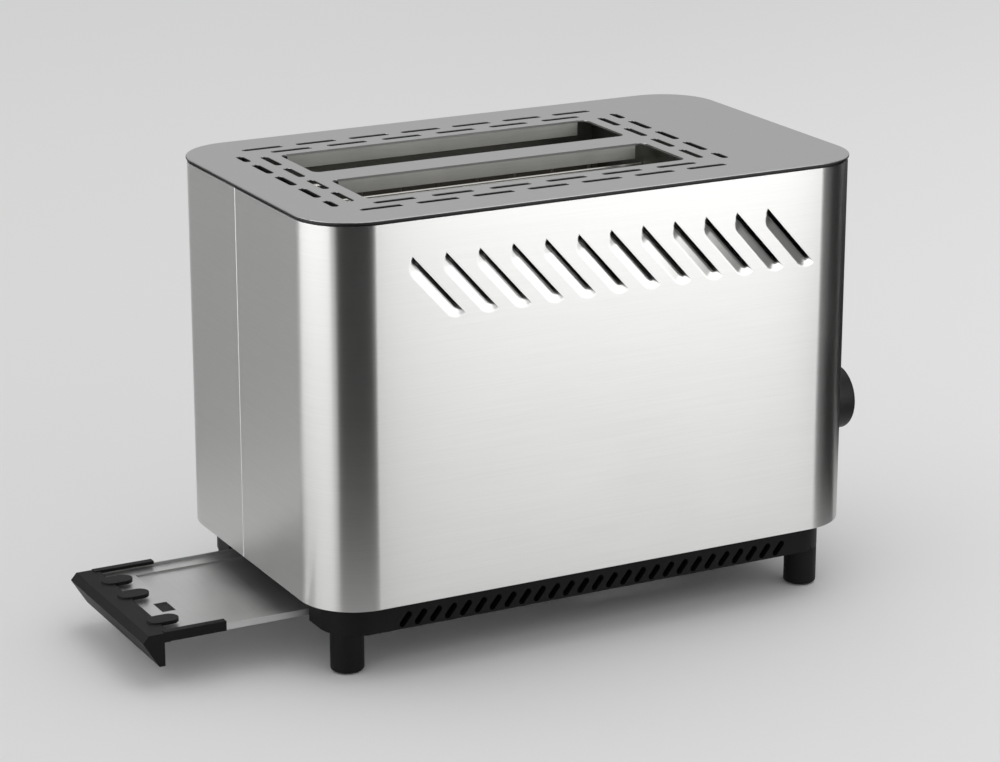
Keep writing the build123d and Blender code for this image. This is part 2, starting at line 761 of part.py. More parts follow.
for name, side in (("control_board", -1), ("button_board", 1)):
    with BuildPart() as board:
        inner = side * bracket_inner_y
        outer = side * bracket_outer_y
        block(board_x, board_x + board_thickness, min(inner, outer), max(inner, outer),
              board_bottom, board_top)
        with BuildSketch(facing_lever(board_x)):
            with Locations(*board_places):
                Circle(screw_radius + screw_hole_clearance)
        extrude(amount=board_thickness, mode=Mode.SUBTRACT)
    board.part.label = name
    export_step(board.part, f"parts/{name}.step")
face_x = board_x + board_thickness

# Browning control: its body on the board, and the knob with its shaft
with BuildPart() as browning_control:
    with BuildSketch(facing_lever(face_x)):
        with Locations((knob_y, knob_z)):
            Circle(gauge_radius)
    extrude(amount=gauge_length)
browning_control.part.label = "browning_control"
export_step(browning_control.part, "parts/browning_control.step")

with BuildPart() as browning_shaft:
    shaft_end = body_length / 2 + knob_length / 2
    with BuildSketch(facing_lever(face_x + gauge_length)):
        with Locations((knob_y, knob_z)):
            Circle(knob_shaft_radius)
    extrude(amount=shaft_end - face_x - gauge_length)
browning_shaft.part.label = "browning_shaft"
export_step(browning_shaft.part, "parts/browning_shaft.step")

with BuildPart() as browning_knob:
    knob_base = body_length / 2 + knob_gap
    with BuildSketch(facing_lever(knob_base)):
        with Locations((knob_y, knob_z)):
            Circle(knob_radius)
    extrude(amount=knob_length - knob_gap)
    fillet(browning_knob.faces().sort_by(Axis.X)[-1].edges(), knob_radius / 9)
    with BuildSketch(facing_lever(knob_base)):
        with Locations((knob_y, knob_z)):
            Circle(knob_shaft_radius)
    extrude(amount=shaft_end - knob_base, mode=Mode.SUBTRACT)
browning_knob.part.label = "browning_knob"
export_step(browning_knob.part, "parts/browning_knob.step")

# Push buttons with the switches behind them
with BuildPart() as button_switches:
    with BuildSketch(facing_lever(face_x)):
        for row in (-1, 0, 1):
            with Locations((button_y, knob_z + row * button_pitch)):
                Rectangle(switch_size, switch_size)
    extrude(amount=switch_height)
button_switches.part.label = "button_switches"
export_step(button_switches.part, "parts/button_switches.step")

button_start = face_x + switch_height + button_travel + chamber_gap
for name, row in (("cancel_button", -1), ("reheat_button", 0), ("defrost_button", 1)):
    with BuildPart() as button:
        with BuildSketch(facing_lever(button_start)):
            with Locations((button_y, knob_z + row * button_pitch)):
                Circle(button_radius)
        extrude(amount=body_length / 2 + button_proud - button_start)
        fillet(button.faces().sort_by(Axis.X)[-1].edges(), button_radius / 6)
    button.part.label = name
    export_step(button.part, f"parts/{name}.step")

# Screws: four down through the end plates' feet into the deck, four holding the boards
with BuildPart() as deck_screws:
    with BuildSketch(level(deck_top + steel)):
        with Locations(*screw_places):
            Circle(screw_head_radius)
    extrude(amount=screw_head)
    with BuildSketch(level(deck_top + steel)):
        with Locations(*screw_places):
            Circle(screw_radius)
    extrude(amount=-steel - deck_thickness)
deck_screws.part.label = "deck_screws"
export_step(deck_screws.part, "parts/deck_screws.step")

with BuildPart() as board_screws:
    with BuildSketch(facing_lever(face_x)):
        with Locations(*board_places):
            Circle(screw_head_radius)
    extrude(amount=screw_head)
    with BuildSketch(facing_lever(face_x)):
        with Locations(*board_places):
            Circle(screw_radius)
    extrude(amount=-board_thickness - standoff)
board_screws.part.label = "board_screws"
export_step(board_screws.part, "parts/board_screws.step")

# Bushing in the rear of the skirt where the mains lead enters
with BuildPart() as cord_gland:
    gland_z = (skirt_bottom + wrap_bottom) / 2
    with BuildSketch(facing_front(skirt_y)):
        with Locations((gland_x, gland_z)):
            Circle(gland_outer)
    extrude(amount=-gland_flange)
    with BuildSketch(facing_front(skirt_y)):
        with Locations((gland_x, gland_z)):
            Circle(gland_body)
    extrude(amount=skirt_wall + gland_flange)
    with BuildSketch(facing_front(skirt_y + gland_flange)):
        with Locations((gland_x, gland_z)):
            Circle(gland_bore)
    extrude(amount=skirt_wall + 2 * gland_flange, mode=Mode.SUBTRACT)
cord_gland.part.label = "cord_gland"
export_step(cord_gland.part, "parts/cord_gland.step")
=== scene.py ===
# %% [markdown]
# # A brushed steel toaster around its CAD frame
#
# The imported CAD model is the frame: it holds every piece at its real size and place.
# This script dresses that frame. It bends the steel wrap, presses the louvres, breaks
# the razor edges and gives each piece its finish. Everything is in metres, and the
# origin is on the table under the middle of the whole object.

# %% The frame
import json
from math import cos, pi, radians, sin

import bpy
from mathutils import Matrix, Vector


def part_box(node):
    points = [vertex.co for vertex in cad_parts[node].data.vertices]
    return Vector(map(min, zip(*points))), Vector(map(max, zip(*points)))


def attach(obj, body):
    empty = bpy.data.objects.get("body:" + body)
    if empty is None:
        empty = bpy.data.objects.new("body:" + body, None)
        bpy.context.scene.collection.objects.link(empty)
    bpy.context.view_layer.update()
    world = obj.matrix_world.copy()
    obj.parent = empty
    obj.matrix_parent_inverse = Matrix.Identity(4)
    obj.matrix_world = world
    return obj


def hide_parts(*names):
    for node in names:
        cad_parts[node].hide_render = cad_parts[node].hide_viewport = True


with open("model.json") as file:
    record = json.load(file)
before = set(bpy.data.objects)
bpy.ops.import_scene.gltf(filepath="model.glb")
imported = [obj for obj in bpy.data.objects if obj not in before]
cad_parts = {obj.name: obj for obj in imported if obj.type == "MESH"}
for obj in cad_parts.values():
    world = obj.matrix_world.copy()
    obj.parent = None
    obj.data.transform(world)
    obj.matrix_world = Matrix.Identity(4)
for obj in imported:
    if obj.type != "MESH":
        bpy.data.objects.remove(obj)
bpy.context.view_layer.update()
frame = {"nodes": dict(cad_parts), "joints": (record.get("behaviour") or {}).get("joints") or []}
mm = 0.001
nodes = frame["nodes"]

# %% [markdown]
# ## The camera
#
# The view looks at the near left corner through a long lens, from above the plate. Its
# place, turn and lens were worked out from the wrap's outline, the plate's corners and
# the legs. The picture was taken with its upright edges held upright, as a shift lens
# does. Here the frame stays unshifted, so that a camera moved elsewhere still aims at the
# toaster, and the upright edges lean by a few pixels.

# %% The camera
camera_place = Vector((-0.6110, -1.1859, 0.5100))
camera_yaw = radians(27.801)
camera_pitch = radians(17.194)
lens_mm = 114.907
sensor_mm = 36.0

camera_data = bpy.data.cameras.new("camera")
camera_data.lens = lens_mm
camera_data.sensor_width = sensor_mm
camera = bpy.data.objects.new("camera", camera_data)
bpy.context.scene.collection.objects.link(camera)
camera.location = camera_place
camera.rotation_euler = (pi / 2 - camera_pitch, 0.0, -camera_yaw)
bpy.context.scene.camera = camera
bpy.context.scene.view_settings.view_transform = "Standard"
print("camera: lens", lens_mm, "mm")

# %% [markdown]
# ## Working by hand, in code
#
# Modelling by hand is a round of three steps: choose one object, select some of its
# faces or edges, and run an operator on them. These helpers do those steps. The
# selection is made by a test on each element's place or direction, because code can't
# click. Modifiers are applied at once, so that each piece ends as a plain mesh.

# %% Helpers for modelling
weld_distance = 0.005 * mm
flat_angle = 0.3
tolerance = 0.01 * mm


def only(*pieces):
    """Select these objects alone, with the first one active."""
    bpy.ops.object.select_all(action="DESELECT")
    for piece in pieces:
        piece.select_set(True)
    bpy.context.view_layer.objects.active = pieces[0]


def pick(piece, kind, test):
    """Open a piece in edit mode with just the elements of a kind that pass the test."""
    only(piece)
    bpy.ops.object.mode_set(mode="EDIT")
    bpy.ops.mesh.select_mode(type=kind)
    bpy.ops.mesh.select_all(action="DESELECT")
    bpy.ops.object.mode_set(mode="OBJECT")
    mesh = piece.data
    if kind == "FACE":
        for face in mesh.polygons:
            face.select = test(face.center, face.normal)
    elif kind == "EDGE":
        for edge in mesh.edges:
            ends = [mesh.vertices[index].co for index in edge.vertices]
            edge.select = test(*ends)
    else:
        for vertex in mesh.vertices:
            vertex.select = test(vertex.co)
    bpy.ops.object.mode_set(mode="EDIT")


def leave():
    """Back to object mode."""
    bpy.ops.object.mode_set(mode="OBJECT")


def modify(piece, kind, **settings):
    """Add a modifier with these settings and apply it."""
    only(piece)
    modifier = piece.modifiers.new(kind.lower(), kind)
    for key, value in settings.items():
        setattr(modifier, key, value)
    bpy.ops.object.modifier_apply(modifier=modifier.name)


def settle(piece, name):
    """Name a piece and put its place into its mesh, with the object at the origin."""
    only(piece)
    bpy.ops.object.transform_apply(location=True, rotation=True, scale=True)
    piece.name = name
    piece.data.name = name
    return piece


def cut(piece, cutters):
    """Cut the cutters out of a piece."""
    tool = join(cutters)
    modify(piece, "BOOLEAN", operation="DIFFERENCE", solver="EXACT", object=tool)
    bpy.data.objects.remove(tool)


def join(pieces):
    """Join pieces into the first one."""
    only(*pieces)
    if len(pieces) > 1:
        bpy.ops.object.join()
    return pieces[0]


def rounded_block(low, high, radius, segments=8, axis=2):
    """A box between two corners, its edges along one axis rounded."""
    low, high = Vector(low), Vector(high)
    bpy.ops.mesh.primitive_cube_add(size=1, location=(low + high) / 2, scale=high - low)
    block = settle(bpy.context.object, "block")

    def along(a, b):
        return abs((a - b)[axis]) > 0.5 * (high - low)[axis]

    pick(block, "EDGE", along)
    bpy.ops.mesh.bevel(offset=radius, segments=segments, affect="EDGES")
    leave()
    return block


def smooth(piece, angle=35):
    """Shade a piece smooth, with its flat faces flat and its sharp edges sharp."""
    only(piece)
    bpy.ops.object.shade_smooth_by_angle(angle=radians(angle))
    modify(piece, "WEIGHTED_NORMAL", keep_sharp=True, weight=80)


def soften(piece, width, angle=50, segments=2):
    """Break the sharp edges of a piece with a small round."""
    modify(piece, "BEVEL", width=width, segments=segments, limit_method="ANGLE",
           angle_limit=radians(angle), use_clamp_overlap=True)


def copy_of(node, name):
    """A welded copy of a CAD node, its flat faces whole again."""
    piece = nodes[node].copy()
    piece.data = nodes[node].data.copy()
    piece.parent = None
    for key in list(piece.keys()):
        if key.startswith("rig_"):
            del piece[key]
    bpy.context.scene.collection.objects.link(piece)
    piece.name = name
    piece.data.name = name
    pick(piece, "FACE", lambda centre, normal: True)
    bpy.ops.mesh.remove_doubles(threshold=weld_distance)
    bpy.ops.mesh.dissolve_limited(angle_limit=radians(flat_angle))
    leave()
    return piece


# %% [markdown]
# ## Shader maths as plain expressions
#
# A material is a graph of nodes. Written as calls that add and link nodes, a simple
# formula takes ten lines. Here a small class wraps a socket and gives it Python's
# operators, so that 1 - mask adds the Math node by itself. Nearly every other kind of
# node comes from one method.

# %% A wrapped socket and a finish
class Wire:
    """An output socket that can be used in sums."""

    def __init__(self, finish, socket):
        self.finish = finish
        self.socket = socket

    def math(self, operation, *values):
        return self.finish.node("ShaderNodeMath", {"operation": operation}, *values)

    def __add__(self, other):
        return self.math("ADD", self, other)

    def __sub__(self, other):
        return self.math("SUBTRACT", self, other)

    def __rsub__(self, other):
        return self.math("SUBTRACT", other, self)

    def __mul__(self, other):
        return self.math("MULTIPLY", self, other)

    __radd__ = __add__

    def above(self, limit):
        """1 where the value is above the limit, else 0."""
        return self.math("GREATER_THAN", self, limit)

    def size(self):
        """The value without its sign."""
        return self.math("ABSOLUTE", self)

    def clamp(self):
        """The value kept from 0 to 1."""
        return self.math("MAXIMUM", self.math("MINIMUM", self, 1.0), 0.0)


class Finish:
    """A material with a Principled shader whose sockets are set or linked by name."""

    def __init__(self, name, color, roughness, metallic=0.0, **constants):
        self.material = bpy.data.materials.new(name)
        self.material.use_nodes = True
        self.tree = self.material.node_tree
        self.shader = self.tree.nodes["Principled BSDF"]
        self.shader.inputs["Base Color"].default_value = (*color, 1.0)
        self.shader.inputs["Roughness"].default_value = roughness
        self.shader.inputs["Metallic"].default_value = metallic
        for key, value in constants.items():
            self.shader.inputs[key.replace("_", " ")].default_value = value
        place = self.tree.nodes.new("ShaderNodeTexCoord")
        self.place = Wire(self, place.outputs["Object"])

    def node(self, kind, settings, *values, output=0, **named):
        """Add a node, set it, then fill its sockets by order or by name."""
        added = self.tree.nodes.new(kind)
        for key, value in settings.items():
            setattr(added, key, value)
        for key, value in [*enumerate(values), *named.items()]:
            name = key.replace("_", " ") if isinstance(key, str) else key
            self.fill(added.inputs[name], value)
        return Wire(self, added.outputs[output])

    def fill(self, socket, value):
        """Link a wire to a socket, or set the socket to a plain value."""
        if isinstance(value, Wire):
            self.tree.links.new(value.socket, socket)
        else:
            socket.default_value = value

    def set(self, **sockets):
        """Link or set the shader's own sockets."""
        for key, value in sockets.items():
            self.fill(self.shader.inputs[key.replace("_", " ")], value)

    def axes(self):
        """The object's own x, y and z."""
        return [self.node("ShaderNodeSeparateXYZ", {}, self.place, output=number)
                for number in range(3)]

    def noise(self, scale, detail=2.0, stretch=(1.0, 1.0, 1.0)):
        """Noise from 0 to 1, scale in cycles per metre, multiplied per axis by the stretch."""
        place = self.node("ShaderNodeMapping", {}, Vector=self.place, Scale=stretch)
        return self.node("ShaderNodeTexNoise", {}, Vector=place, Scale=scale, Detail=detail)

    def mix(self, amount, first, second):
        """A colour between two colours, by an amount from 0 to 1."""
        added = self.tree.nodes.new("ShaderNodeMix")
        added.data_type = "RGBA"
        for name, value in (("Factor_Float", amount), ("A_Color", first), ("B_Color", second)):
            socket = next(s for s in added.inputs if s.identifier == name)
            self.fill(socket, (*value, 1.0) if isinstance(value, tuple) else value)
        return Wire(self, next(s for s in added.outputs if s.identifier == "Result_Color"))

    def bump(self, height, depth, strength):
        """A bump from a height of 0 to 1, depth in metres."""
        return self.node("ShaderNodeBump", {}, Height=height, Distance=depth, Strength=strength)


def shades(color, low, high):
    """A darker and a lighter shade of a colour, none above 1."""
    return (tuple(min(value * factor, 1.0) for value in color) for factor in (low, high))


# %% [markdown]
# ## The steel finishes
#
# The wrap is brushed along its sheet, so the scratches run level round the body. Such
# a grain spreads each reflection up and down and keeps it sharp from side to side,
# which is why the corners carry crisp upright bands. The shader's anisotropy does that,
# turned a quarter so that the spread is upright. Noise that is long along the grain and
# fine across it gives the scratches themselves, in colour, roughness and a shallow bump.

# %% Steel
plate_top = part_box("top_plate")[1].z
slots_half_width = 46.0 * mm
slots_half_length = 77.0 * mm
slots_middle_x = 5.6 * mm
lip_round = 1.0 * mm
# The plate's outer side is painted near black from a little below its top downwards: painted
# shade for the shadowed gap above the wrap.
edge_shade_depth = 0.3 * mm
edge_shade_color = (0.06, 0.06, 0.06)


def level_grain(finish, along, across):
    """Scratches that run level round an upright wall."""
    return finish.noise(1.0, detail=3.0, stretch=(along, along, across))


def wrap_finish(name, color):
    """Steel brushed along the sheet."""
    finish = Finish(name, color, 0.32, metallic=1.0, Anisotropic=0.9, Anisotropic_Rotation=0.25)
    scratches = level_grain(finish, 14.0, 5200.0)
    strokes = level_grain(finish, 30.0, 1500.0)
    smears = finish.noise(22.0, detail=3.0)
    grain = scratches * 0.6 + strokes * 0.4
    finish.set(Base_Color=finish.mix(grain, *shades(color, 0.90, 1.08)),
               Roughness=0.25 + grain * 0.09 + smears * 0.05,
               Normal=finish.bump(grain, 0.006 * mm, 0.35))
    return finish.material


def satin_finish(name, color, roughness, grain_stretch, spots=0.0):
    """Steel with a fine grain one way, and dull patches where asked."""
    finish = Finish(name, color, roughness, metallic=1.0)
    grain = finish.noise(1.0, detail=3.0, stretch=grain_stretch)
    patches = finish.noise(45.0, detail=4.0)
    tone = grain * (1.0 - spots) + patches * spots
    finish.set(Base_Color=finish.mix(tone, *shades(color, 0.92 - 0.25 * spots, 1.06)),
               Roughness=roughness - 0.06 + grain * 0.08 + patches * 0.06,
               Normal=finish.bump(grain, 0.005 * mm, 0.3))
    return finish.material


def plate_finish(name, color, lip_color):
    """The plate's satin, a duller drawn surface on the slots' lips, and its outer edge painted
    near black as shade.
    """
    finish = Finish(name, color, 0.36, metallic=1.0)
    grain = finish.noise(1.0, detail=3.0, stretch=(18.0, 4200.0, 600.0))
    drawn = finish.noise(1.0, detail=3.0, stretch=(40.0, 900.0, 2400.0))
    stains = finish.noise(60.0, detail=4.0)
    along, across, height = finish.axes()
    beside = across.size().above(slots_half_width)
    past = (along - slots_middle_x).size().above(slots_half_length)
    away_from_slots = (beside + past).clamp()
    lip = (1.0 - height.above(plate_top - lip_round)) * (1.0 - away_from_slots)
    # edge is the painted shade on the plate's outer side, away from the slots, below the top's
    # narrow rim.
    edge = (1.0 - height.above(plate_top - edge_shade_depth)) * away_from_slots
    sheet = finish.mix(grain, *shades(color, 0.93, 1.06))
    wall = finish.mix(drawn * 0.4 + stains * 0.6, *shades(lip_color, 0.72, 1.18))
    finish.set(Base_Color=finish.mix(edge, finish.mix(lip, sheet, wall), edge_shade_color),
               Roughness=0.33 + grain * 0.08 + lip * 0.22 + edge * 0.25,
               Normal=finish.bump(grain, 0.005 * mm, 0.3))
    return finish.material


wrap_steel = wrap_finish("wrap_steel", (0.64, 0.64, 0.63))
plate_steel = plate_finish("plate_steel", (0.44, 0.445, 0.44), (0.54, 0.54, 0.51))
tray_steel = satin_finish("tray_steel", (0.68, 0.69, 0.68), 0.42,
                          grain_stretch=(2600.0, 24.0, 600.0), spots=0.5)
# The inner steel is coloured much darker than bright aluminised steel: painted shade for the dim
# inside of the body seen through the gaps and slots.
inner_steel = satin_finish("inner_steel", (0.24, 0.24, 0.22), 0.42,
                           grain_stretch=(40.0, 700.0, 900.0), spots=0.6)
rod_steel = satin_finish("rod_steel", (0.58, 0.57, 0.54), 0.32,
                         grain_stretch=(500.0, 500.0, 1500.0), spots=0.3)
spring_steel = satin_finish("spring_steel", (0.42, 0.42, 0.43), 0.35,
                            grain_stretch=(900.0, 900.0, 900.0))
screw_steel = satin_finish("screw_steel", (0.66, 0.66, 0.67), 0.25,
                           grain_stretch=(900.0, 900.0, 900.0))
ribbon_metal = satin_finish("heater_ribbon", (0.30, 0.27, 0.24), 0.55,
                            grain_stretch=(60.0, 60.0, 900.0), spots=0.8)
print("steel finishes made")

# %% [markdown]
# ## The plastics and the small finishes
#
# The base, the legs and the tray's handle are a near black plastic with a fine spark
# texture from its mould. Two sizes of noise give the dimples, and the larger one also
# lifts the roughness a little, so that a highlight breaks up as it does on the real
# moulding.

# %% Plastics, rubber, mica and the boards
knob_low, knob_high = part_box("browning_knob")
knob_middle = (knob_low + knob_high) / 2
face_depth = 0.3 * mm
pointer_half = 0.7 * mm
pointer_start = 5.0 * mm
pointer_end = 12.4 * mm
pointer_color = (0.75, 0.75, 0.73)


def pointer_mask(finish):
    """1 on the line that points out from the middle of the browning knob's face."""
    along, across, height = finish.axes()
    on_face = along.above(knob_high.x - face_depth)
    on_line = 1.0 - (across - knob_middle.y).size().above(pointer_half)
    past_start = height.above(knob_middle.z + pointer_start)
    before_end = 1.0 - height.above(knob_middle.z + pointer_end)
    return on_face * on_line * past_start * before_end


def moulded_finish(name, color, roughness, dimple, depth, pointer=False, shine=0.22):
    """Plastic from a spark-textured mould, its dimples in cycles per metre."""
    finish = Finish(name, color, roughness, Specular_IOR_Level=shine)
    fine = finish.noise(dimple, detail=2.0)
    broad = finish.noise(dimple * 0.02, detail=3.0)
    worn = tuple(value * 1.5 + 0.002 for value in color)
    surface = finish.mix(broad * 0.8, color, worn)
    if pointer:
        surface = finish.mix(pointer_mask(finish), surface, pointer_color)
    finish.set(Base_Color=surface,
               Roughness=roughness - 0.05 + fine * 0.06 + broad * 0.08,
               Normal=finish.bump(fine, depth, 0.5))
    return finish.material


black_plastic = moulded_finish("black_plastic", (0.006, 0.006, 0.006), 0.46,
                               dimple=2600.0, depth=0.02 * mm, shine=0.13)
knob_plastic = moulded_finish("knob_plastic", (0.018, 0.018, 0.018), 0.40,
                              dimple=4200.0, depth=0.01 * mm, pointer=True)
component_plastic = moulded_finish("component_plastic", (0.05, 0.05, 0.055), 0.5,
                                   dimple=3000.0, depth=0.01 * mm)
foot_rubber = moulded_finish("foot_rubber", (0.03, 0.03, 0.03), 0.75,
                             dimple=1800.0, depth=0.04 * mm)
magnet_lacquer = moulded_finish("magnet_steel", (0.10, 0.10, 0.11), 0.35,
                                dimple=1200.0, depth=0.01 * mm)
board_laminate = moulded_finish("board_laminate", (0.30, 0.22, 0.10), 0.55,
                                dimple=900.0, depth=0.01 * mm)
# The mica is coloured far darker than its real light brown: painted shade for the dim inside of
# the toast slots.
mica = moulded_finish("mica", (0.11, 0.10, 0.08), 0.6, dimple=300.0, depth=0.05 * mm)
print("plastic finishes made")

# %% [markdown]
# ## The table and the studio
#
# The set is a wide pale sheet and a pale grey room. Metal shows what stands round it,
# so the lamps are placed by where the wrap reflects: a tall panel at the front right
# fills the front, one at the left fills half of the near corner, and a large one
# overhead lights the table. Cards that only reflections see give the corners their dark
# bands and tone down the left end, as a product photographer's cards do.

# %% The floor, the room and the lamps
body_low, body_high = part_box("front_shell")
body_x = (body_low.x + body_high.x) / 2
front_y = body_low.y
rear_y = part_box("rear_shell")[1].y
corner_radius = 25.0 * mm
floor_size = 12.0
paper_dim = (0.86, 0.86, 0.86)
paper_bright = (0.98, 0.98, 0.98)
paper_middle = 0.35
paper_change = 0.9
room_grey = 0.69

bpy.ops.mesh.primitive_plane_add(size=floor_size, location=(0, 0, 0))
floor = bpy.context.object
floor.name = "floor"
paper = Finish("floor_paper", (0.85, 0.85, 0.85), 0.9, Specular_IOR_Level=0.0)
floor_x, floor_y = paper.axes()[:2]
# The paper's colour grades from paper_dim to paper_bright toward the front right: a pool of
# light painted on the floor.
painted_light_front_right = ((floor_x - floor_y) * paper_change + paper_middle).clamp()
paper.set(Base_Color=paper.mix(painted_light_front_right, paper_dim, paper_bright))
floor.data.materials.append(paper.material)

world = bpy.data.worlds.new("room")
world.use_nodes = True
background = world.node_tree.nodes["Background"]
background.inputs["Color"].default_value = (room_grey, room_grey, room_grey, 1.0)
background.inputs["Strength"].default_value = 1.0
world.cycles.sampling_method = "NONE"
bpy.context.scene.world = world


def toward(heading):
    """The level direction at a heading in degrees, turned from +X toward +Y."""
    return Vector((cos(radians(heading)), sin(radians(heading)), 0.0))


def panel(name, place, aim, width, height, radiance):
    """A soft lamp of this size that looks at a point."""
    bpy.ops.object.light_add(type="AREA", location=place)
    lamp = bpy.context.object
    lamp.name = name
    lamp.data.shape = "RECTANGLE"
    lamp.data.size = width
    lamp.data.size_y = height
    lamp.data.energy = radiance * pi * width * height
    lamp.rotation_euler = (Vector(aim) - Vector(place)).to_track_quat("-Z", "Y").to_euler()
    lamp.visible_camera = False
    return lamp


middle = Vector((body_x, 0.0, 0.10))
front_heading = 305.0
front_distance = 0.80
front_shift = -0.03
front_rise = 0.38
left_heading = 176.0
left_distance = 0.85
left_rise = 0.36
front_place = middle + toward(front_heading) * front_distance
front_place += toward(front_heading + 90.0) * front_shift + Vector((0, 0, front_rise))
front_panel = panel("front_panel", front_place, front_place - toward(front_heading),
                    width=0.52, height=0.90, radiance=1.95)
left_place = middle + toward(left_heading) * left_distance + Vector((0, 0, left_rise))
left_panel = panel("left_panel", left_place, left_place - toward(left_heading),
                   width=1.05, height=0.85, radiance=1.9)
for lamp in (front_panel, left_panel):
    lamp.visible_diffuse = False
panel("top_panel", (body_x + 0.35, 0.20, 1.50), (body_x + 0.1, 0.0, 0.1),
      width=1.5, height=1.5, radiance=0.50)

card_steps = 360
card_roughness = 0.8
black_card = 0.02
pale_card = 0.72


def card(name, place, radius, first, last, height, grey):
    """A curved card round a place, from one heading to another, seen only in reflections."""
    bpy.ops.mesh.primitive_circle_add(vertices=card_steps, radius=radius,
                                      location=(place.x, place.y, 0.0))
    wall = bpy.context.object

    def outside(vertex):
        heading = Vector((1, 0)).angle_signed(vertex.xy, 0.0) * -180.0 / pi % 360.0
        return not first <= heading <= last

    pick(wall, "VERT", outside)
    bpy.ops.mesh.delete(type="VERT")
    bpy.ops.mesh.select_all(action="SELECT")
    bpy.ops.mesh.extrude_edges_move(TRANSFORM_OT_translate={"value": (0, 0, height)})
    leave()
    settle(wall, name)
    wall.data.materials.append(Finish(name, (grey, grey, grey), card_roughness).material)
    wall.visible_camera = False
    wall.visible_diffuse = False
    wall.visible_shadow = False


near_corner = Vector((body_low.x + corner_radius, front_y + corner_radius, 0.0))
far_corner = Vector((body_high.x - corner_radius, front_y + corner_radius, 0.0))
left_face = Vector((body_low.x, 0.0, 0.0))
cards = (
    # name, middle, radius, first and last heading, height, grey
    ("near_card", near_corner, 0.13, 218.5, 288.9, 0.30, black_card),
    ("side_card", far_corner, 0.20, 302.0, 359.9, 0.32, black_card),
    ("far_side_card", far_corner, 0.20, 0.0, 60.0, 0.20, black_card),
    ("low_side_card", far_corner, 0.10, 304.0, 359.9, 0.06, black_card),
    ("left_card", left_face, 0.20, 88.0, 140.0, 0.40, pale_card),
)
for name, *shape in cards:
    card(name, *shape)
print("stage: floor, three panels and", len(cards), "cards")

# %% [markdown]
# ## The wrap
#
# The wrap is two bent sheets that meet at a seam on each end. By hand one would bevel a
# block's upright edges to the bend, open its top and bottom, cut it at the seams and
# give the sheet its thickness. The same steps follow here. The holes in the lever end
# are cut before the sheet's edges are broken. The louvres' windows are cut after that,
# so that their edges stay square and the pressed patches close them without a line.

# %% Sizes of the wrap
steel = 0.8 * mm
seam_gap = 0.4 * mm
seam_left_y = 6.0 * mm
seam_right_y = 14.0 * mm
seam_roll = 0.45 * mm
wrap_low = body_low.z
top_gap = 0.5 * mm
wrap_high = body_high.z - top_gap
bend_segments = 28
edge_round = 0.18 * mm
cutter_reach = 3 * steel
strap_half = 7.0 * mm
strap_rise = 3.1 * mm
strap_drop = 6.7 * mm
strap_round = 0.1 * mm
touch_gap = 0.001 * mm
louvre_count = 12
louvre_pitch = 15.27 * mm
louvre_first = body_x - 79.4 * mm
louvre_height = body_high.z - 30.6 * mm
louvre_length = 34.5 * mm
louvre_width = 5.8 * mm
louvre_angle = radians(48.0)
louvre_places = [louvre_first + number * louvre_pitch for number in range(louvre_count)]
patch_margin = 1.2 * mm
patch_root = 0.8 * mm
patch_sunk = 0.005 * mm
patch_overlap = 0.05 * mm


def louvre_frame(x, side):
    """Where a louvre stands: its x along it, its y up across it, its z out of the wall."""
    along = Vector((cos(louvre_angle), 0.0, -sin(louvre_angle)))
    across = Vector((sin(louvre_angle), 0.0, cos(louvre_angle)))
    out = along.cross(across)
    matrix = Matrix((along, across, out)).transposed().to_4x4()
    matrix.translation = Vector((x, side * rear_y, louvre_height))
    return matrix


def louvre_window(matrix):
    """A cutter for the part of the wall that one louvre's patch of sheet takes."""
    half_length = louvre_length / 2 + patch_margin
    low = Vector((-half_length, -louvre_width / 2 - patch_root, -cutter_reach))
    high = Vector((half_length, louvre_width / 2, cutter_reach))
    bpy.ops.mesh.primitive_cube_add(size=1, location=(low + high) / 2, scale=high - low)
    window = settle(bpy.context.object, "cutter")
    window.matrix_world = matrix
    return settle(window, "cutter")


def end_hole(y, z, half_width, half_height, radius):
    """A cutter through the lever end's wall."""
    low = (body_high.x - cutter_reach, y - half_width, z - half_height)
    high = (body_high.x + cutter_reach, y + half_width, z + half_height)
    return rounded_block(low, high, radius, axis=0)


# %% Bend, cut and finish each shell
def bent_shell(name, node, side, holes):
    """One shell of the wrap: the front one for side -1, the rear one for side 1."""
    low = Vector((body_low.x, front_y, wrap_low))
    high = Vector((body_high.x, rear_y, wrap_high))
    shell = rounded_block(low, high, corner_radius, segments=bend_segments)
    pick(shell, "FACE", lambda centre, normal: abs(normal.z) > 0.5)
    bpy.ops.mesh.delete(type="ONLY_FACE")
    leave()
    for end, seam_y in ((-1, seam_left_y), (1, seam_right_y)):
        cut_y = seam_y if side < 0 else seam_y + seam_gap
        pick(shell, "FACE", lambda centre, normal: normal.x * end > 0.99)
        bpy.ops.mesh.bisect(plane_co=(0, cut_y, 0), plane_no=(0, 1, 0),
                            clear_outer=side < 0, clear_inner=side > 0)
        leave()

    def of_other_shell(centre, normal):
        return (centre.y - seam_left_y) * side < 0 and abs(normal.x) < 0.99

    pick(shell, "FACE", of_other_shell)
    bpy.ops.mesh.delete(type="FACE")
    leave()
    modify(shell, "SOLIDIFY", thickness=steel, offset=-1.0)
    cut(shell, holes)
    if side > 0:
        roll_seam(shell)
        shell = join([shell, *seam_straps()])
    soften(shell, edge_round)
    cut(shell, [louvre_window(louvre_frame(x, side)) for x in louvre_places])
    smooth(shell)
    settle(shell, name)
    shell.data.materials.append(wrap_steel)
    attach(shell, "toaster_body")
    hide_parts(node)
    print(name, len(shell.data.polygons), "faces")


